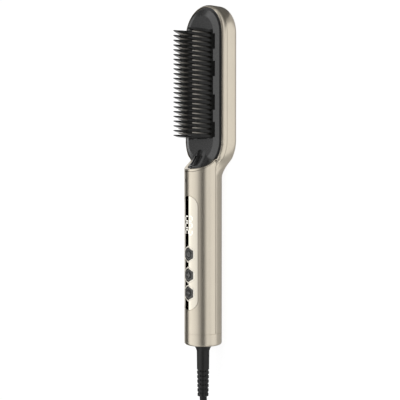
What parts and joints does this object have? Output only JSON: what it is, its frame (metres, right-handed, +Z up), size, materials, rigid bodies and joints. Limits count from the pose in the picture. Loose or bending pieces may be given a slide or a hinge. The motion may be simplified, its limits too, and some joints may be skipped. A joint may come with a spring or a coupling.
{
  "type": "hair straightener comb",
  "caption": "Corded heated straightening comb: round handle with a glossy button panel, flat head with a double row of guarded metal teeth, and a swivelling cord sleeve.",
  "frame": {"origin": "middle of the comb and its cord sleeve, without the free cord, at the level of the surface it lies on", "axes": "+Y along the handle towards the head, +Z up out of the comb's teeth, +X across the width"},
  "size_m": [0.0622, 0.5153, 0.0442],
  "materials": {
    "champagne_shell": "satin pearl paint",
    "gloss_panel": "high gloss",
    "dark_lens": "clear dark",
    "black_plate": "fine satin",
    "black_comb": "matte",
    "heated_metal": "dark satin coating",
    "heater_ceramic": "matte",
    "insulation": "woven sheet",
    "spring_steel": "plain",
    "sensor_body": "matte",
    "inner_plastic": "moulded",
    "board": "lacquered",
    "button_plastic": "soft satin",
    "sleeve_rubber": "matte",
    "cord_rubber": "matte",
    "tie_rubber": "matte",
    "plug_rubber": "matte",
    "contact_brass": "plain"
  },
  "bodies": {
    "comb": {"rear_shell": "champagne_shell", "head_frame": "champagne_shell", "handle_cover": "champagne_shell", "end_cap": "champagne_shell", "control_panel": "gloss_panel", "status_lens": "dark_lens", "display_module": "dark_lens", "face_plate": "black_plate", "ion_grille": "black_plate", "comb_guard": "black_comb", "heating_comb": "heated_metal", "heater_element": "heater_ceramic", "insulation_sheet": "insulation", "heater_clamp": "spring_steel", "closing_screws": "spring_steel", "board_screws": "spring_steel", "heater_screws": "spring_steel", "face_screws": "spring_steel", "thermistor": "sensor_body", "thermal_fuse": "sensor_body", "ion_emitter": "inner_plastic", "ion_generator": "inner_plastic", "board_components": "inner_plastic", "tact_switches": "inner_plastic", "contact_block": "inner_plastic", "swivel_retainer": "inner_plastic", "control_board": "board", "cord": "cord_rubber", "cord_hank": "cord_rubber", "mains_leads": "cord_rubber", "heater_leads": "cord_rubber", "cord_tie": "tie_rubber", "plug_body": "plug_rubber", "brush_contacts": "contact_brass", "plug_blades": "contact_brass"},
    "power_key": {"power_button": "button_plastic", "power_plunger": "inner_plastic"},
    "plus_key": {"plus_button": "button_plastic", "plus_plunger": "inner_plastic"},
    "minus_key": {"minus_button": "button_plastic", "minus_plunger": "inner_plastic"},
    "swivel": {"strain_relief": "sleeve_rubber", "slip_rings": "contact_brass"}
  },
  "joints": [
    {"name": "power_press", "type": "slide", "parent": "comb", "child": "power_key", "axis": [0, 0, -1], "range_m": [0, 0.0006], "stiffness_N_per_m": 1500, "springref_m": -0.0004},
    {"name": "plus_press", "type": "slide", "parent": "comb", "child": "plus_key", "axis": [0, 0, -1], "range_m": [0, 0.0006], "stiffness_N_per_m": 1500, "springref_m": -0.0004},
    {"name": "minus_press", "type": "slide", "parent": "comb", "child": "minus_key", "axis": [0, 0, -1], "range_m": [0, 0.0006], "stiffness_N_per_m": 1500, "springref_m": -0.0004},
    {"name": "cord_swivel", "type": "hinge", "parent": "comb", "child": "swivel", "pos_m": [0, -0.1235, 0.0162], "axis": [0, 1, 0], "continuous": true}
  ]
}
